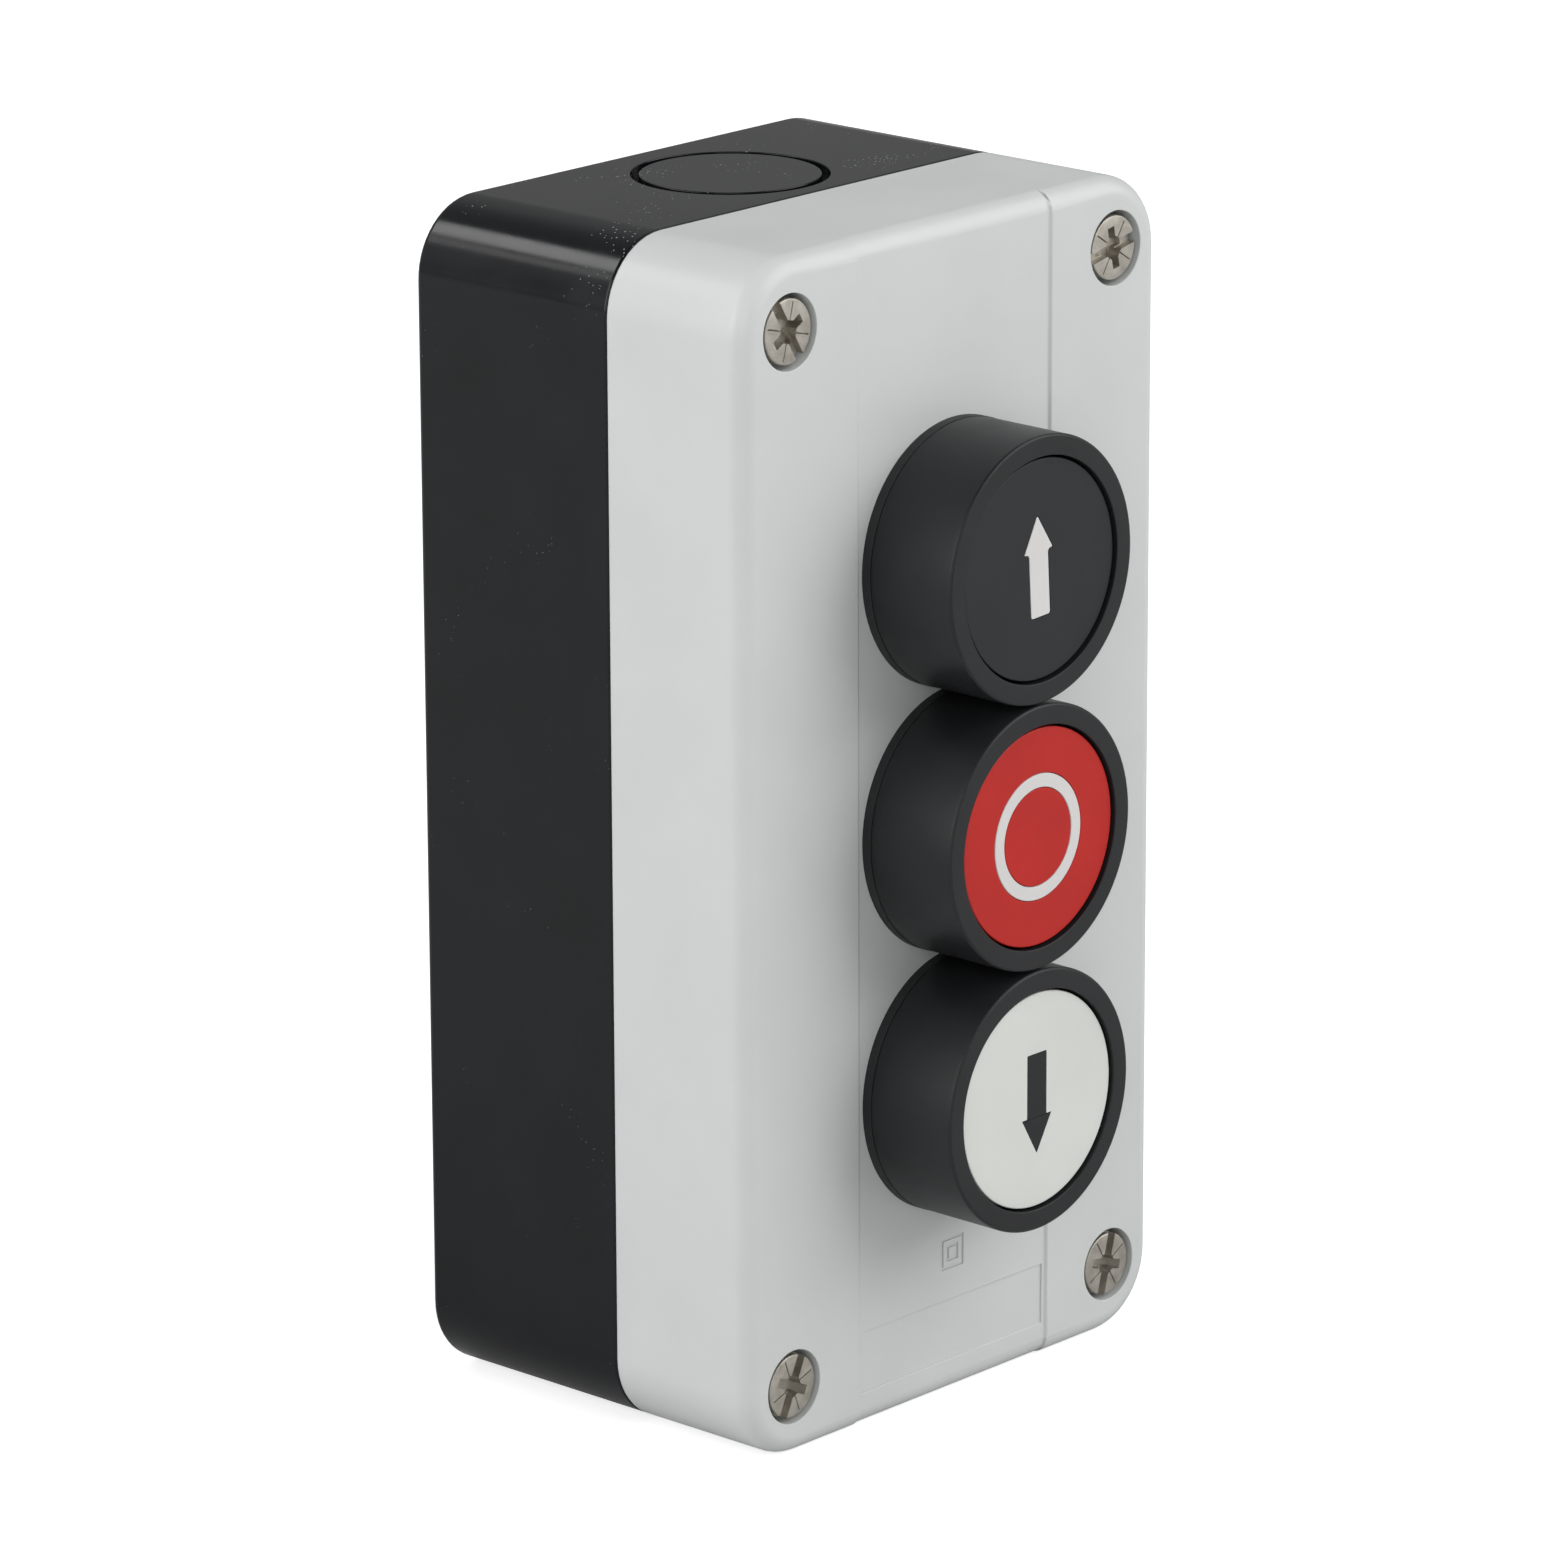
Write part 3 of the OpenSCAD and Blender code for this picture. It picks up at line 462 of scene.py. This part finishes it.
# Rubber rings. Plain flat rings of black rubber, nearly matt with a soft sheen: one under each screw
# head, one under each bezel and one lip ring round each stem. A station is an operator's height.
stations = {"up": 30, "stop": 0, "down": -30}
rubber_black = moulded("rubber_matt_black", "#1d1e20", "#222325", 3, 0.5, 0.62, 0.3, 0.008, 0.45)
rings = [f"{station}_{part}" for station in stations for part in ("panel_gasket", "stem_seal")]
for node in ["cover_screw_seals"] + rings:
    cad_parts[node].material_slots[0].material = rubber_black

# Bezels. Round heads of nylon, satin black with a fine grain, each turned in one with the threaded
# barrel that goes through the cover. The rim is flat and its outer edge softly rounded.
bezel_r, bezel_base, bezel_top = 14.9, 49, 60.4
pocket_r, pocket_floor = 12.55, 50.6
barrel_r, barrel_bore_r, barrel_end, shoulder, pin_bore_r = 11, 9.6, 34.7, 36.7, 4.2
barrel_pitch, barrel_thread_depth, barrel_turns = 1.5, 0.35, 5
rim_rounding, mouth_rounding, foot_rounding = 0.35, 0.12, 0.1
bezel_black = moulded("nylon_satin_black", "#1a1b1d", "#1f2022", 8, 0.38, 0.46, 0.4, 0.005, 0.34)
for station, height in stations.items():
    profile = [(pin_bore_r, barrel_end), (barrel_r - barrel_thread_depth, barrel_end)]
    for i in range(barrel_turns):
        at = barrel_end + barrel_pitch / 2 + i * barrel_pitch
        profile += [(barrel_r - barrel_thread_depth, at), (barrel_r, at + barrel_pitch / 2)]
    profile += [
        (barrel_r, bezel_base), (bezel_r, bezel_base), (bezel_r, bezel_top), (pocket_r, bezel_top),
        (pocket_r, pocket_floor), (barrel_bore_r, pocket_floor), (barrel_bore_r, shoulder),
        (pin_bore_r, shoulder),
    ]
    bm = turned(profile)
    round_edges(bm, rim_rounding, 4, ring_at(bezel_r, bezel_top))
    round_edges(bm, mouth_rounding, 2, ring_at(pocket_r, bezel_top))
    round_edges(bm, foot_rounding, 2, ring_at(bezel_r, bezel_base))
    bmesh.ops.translate(bm, verts=bm.verts, vec=(0, 0, height * MM))
    fit(bm, f"{station}_bezel_head", bezel_black, "enclosure", f"{station}_bezel")

# Fixing nuts. Notched rings of moulded grey nylon, plain and half matt. They run on the barrels'
# threads and pull the bezels against the cover from behind.
nut_grey = moulded("nylon_grey", "#585b5e", "#616467", 5, 0.45, 0.55, 0.4, 0.006)
for station in stations:
    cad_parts[f"{station}_fixing_nut"].material_slots[0].material = nut_grey

# Caps. Round button caps of dense satin plastic: black, red and white. Each has a softly rounded rim
# and a pocket that follows the outline of its symbol. The upper one sits turned by a few degrees.
cap_r, cap_top, cap_rounding = 12.25, 60, 0.15
symbol_reach, symbol_rounding = 8, 0.07
cap_turns = {"up": -3.2, "stop": 0, "down": 0}
arrow_rounding = {"up": 0.35, "down": 0.12}
cap_finishes = {
    "up": moulded("polyester_satin_black", "#1d1f21", "#222426", 10, 0.36, 0.44, 0.4, 0.005, 0.32),
    "stop": moulded("polyester_satin_red", "#ae1811", "#b81d15", 10, 0.36, 0.44, 0.4, 0.005, 0.32),
    "down": moulded("polyester_satin_white", "#ced0cb", "#d3d5d0", 10, 0.36, 0.44, 0.4, 0.005, 0.4),
}


def in_symbol(co):
    return math.hypot(co.x, co.z) < symbol_reach


# The mesh of a cap or symbol, moved to the middle station, with its arrow's corners rounded.
def button_piece(station, part):
    bm = merged_copy(f"{station}_{part}")
    bmesh.ops.translate(bm, verts=bm.verts, vec=(0, 0, -stations[station] * MM))
    if station in arrow_rounding:
        round_edges(bm, arrow_rounding[station], 3, in_symbol, in_depth=True)
    return bm


# The mesh turned like its cap, moved back to its own station and fitted to its button.
def place_button_piece(bm, station, part, name, material):
    turn = Matrix.Rotation(math.radians(cap_turns[station]), 3, "Y")
    bmesh.ops.rotate(bm, verts=bm.verts, matrix=turn)
    bmesh.ops.translate(bm, verts=bm.verts, vec=(0, 0, stations[station] * MM))
    fit(bm, name, material, f"{station}_button", f"{station}_{part}")


for station, finish in cap_finishes.items():
    bm = button_piece(station, "cap")
    round_edges(bm, cap_rounding, 3, ring_at(cap_r, cap_top))
    round_edges(bm, symbol_rounding, 2, lambda co: abs(co.y + cap_top) < touch and in_symbol(co))
    place_button_piece(bm, station, "cap", f"{station}_button_cap", finish)

# Symbols. Arrows and ring moulded in a second shot into the caps, flush with them and as satin. The
# sides are drawn in by a small gap, so that a fine dark line shows round each symbol.
inlay_gap = 0.06
inlay_white = moulded("polyester_inlay_white", "#cfcdcb", "#d4d2d0", 6, 0.4, 0.48, 0.4, 0.005, 0.4)
inlay_black = moulded("polyester_inlay_black", "#1c1d1f", "#212224", 6, 0.36, 0.44, 0.4, 0.005, 0.3)
for station, slot, finish in (
    ("up", "inlay_white", inlay_white),
    ("stop", "inlay_white", inlay_white),
    ("down", "inlay_black", inlay_black),
):
    bm = button_piece(station, "symbol")
    bm.normal_update()
    for v in bm.verts:
        sides = [f.normal for f in v.link_faces if abs(f.normal.y) < 0.5]
        v.co -= sum(sides, Vector()).normalized() * inlay_gap * MM
    round_edges(bm, symbol_rounding, 2, lambda co: abs(co.y + cap_top) < touch)
    place_button_piece(bm, station, "symbol", f"{station}_cap_symbol", finish)

# Stems. Mouldings of natural acetal, creamy white and slightly waxy, clipped behind the barrels.
# Each carries a cap and slides in its bezel.
acetal = moulded("acetal_natural", "#dcdad2", "#e4e2db", 6, 0.35, 0.45, 0.4, 0.004)
for station in stations:
    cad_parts[f"{station}_stem"].material_slots[0].material = acetal

# Springs. Wound from bright spring steel wire with closed end turns. Return springs push the stems
# out, plunger springs lift the plungers, and bridge springs press the bridges on their contacts.
coils = {"return": (7.45, 1, 6.5), "plunger": (2.2, 0.4, 3), "bridge": (1.6, 0.4, 2.5)}
return_near, return_far = 36.75, 56.55
plunger_near, plunger_far = 5.55, 11.55
bridge_near, bridge_far = 14.2, 20.25
stop_bridge_near, stop_bridge_far = 12.85, 15.3
closed_turns, wire_sides, steps_per_turn = 0.75, 12, 32
spring_steel = metal("spring_steel_wire", "#a5a6a8", "#b9babc", 0.6, 0.2, 0.34, detail=3)


# A coil has its mean radius, wire thickness and number of turns, and fills the depth from near to far.
def wind(station, kind, body, near, far):
    mean_r, wire, turns = coils[kind]
    bm = bmesh.new()
    bmesh.ops.create_circle(bm, segments=wire_sides, radius=wire / 2 * MM)
    start = Vector((mean_r, -near - wire / 2, stations[station])) * MM
    bmesh.ops.translate(bm, verts=bm.verts, vec=start)
    end_rise = closed_turns * wire
    end, middle = (closed_turns, end_rise), (turns - 2 * closed_turns, far - near - wire - 2 * end_rise)
    live = bm.verts[:] + bm.edges[:]
    for count, climb in (end, middle, end):
        steps = round(count * steps_per_turn)
        done = bmesh.ops.spin(
            bm, geom=live, cent=(0, 0, stations[station] * MM), axis=(0, 1, 0),
            dvec=(0, -climb / steps * MM, 0), angle=math.tau * count, steps=steps,
        )
        live = done["geom_last"]
    bmesh.ops.holes_fill(bm, edges=[e for e in bm.edges if e.is_boundary], sides=wire_sides)
    bmesh.ops.recalc_face_normals(bm, faces=bm.faces)
    return fit(bm, f"{station}_{kind}_coil", spring_steel, body, f"{station}_{kind}_spring")


for station, height in stations.items():
    spring = wind(station, "return", "enclosure", return_near, return_far)
    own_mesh(spring)
    spring = wind(station, "plunger", "enclosure", plunger_near, plunger_far)
    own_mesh(spring)
    if station == "stop":
        wind(station, "bridge", "stop_contact_plunger", stop_bridge_near, stop_bridge_far)
    else:
        spring = wind(station, "bridge", f"{station}_contact_plunger", bridge_near, bridge_far)
        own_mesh(spring)

# Contact blocks. Boxes of glass-filled nylon, dark below and lighter above, clipped on the floor of
# the base. A green plunger closes the contact when it is pressed, and a red one opens it.
block_dark = moulded("filled_nylon_dark_grey", "#3c3e41", "#44464a", 4, 0.5, 0.62, 0.35, 0.01)
block_light = moulded("filled_nylon_mid_grey", "#7b7e80", "#838688", 4, 0.5, 0.62, 0.35, 0.01)
plunger_green = moulded("acetal_green", "#217a45", "#26844c", 4, 0.36, 0.46, 0.35, 0.005)
plunger_red = moulded("acetal_red", "#a8231d", "#b22822", 4, 0.36, 0.46, 0.35, 0.005)
for station in stations:
    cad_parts[f"{station}_contact_base"].material_slots[0].material = block_dark
    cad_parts[f"{station}_contact_cover"].material_slots[0].material = block_light
    plunger = plunger_red if station == "stop" else plunger_green
    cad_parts[f"{station}_plunger"].material_slots[0].material = plunger

# Contacts. Bridges and terminal plates stamped from brass strip, a warm soft shine, with zinc-plated
# steel saddles and screws, cooler and greyer, that clamp the wires.
brass = metal("brass_stamped", "#c39a4b", "#d1ab5e", 0.8, 0.22, 0.4)
zinc = metal("steel_zinc_plated", "#a9adb2", "#bcc0c4", 1.2, 0.22, 0.4)
for station in stations:
    for part, material in (
        ("bridge", brass), ("terminals", brass), ("terminal_saddles", zinc), ("terminal_screws", zinc),
    ):
        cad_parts[f"{station}_{part}"].material_slots[0].material = material
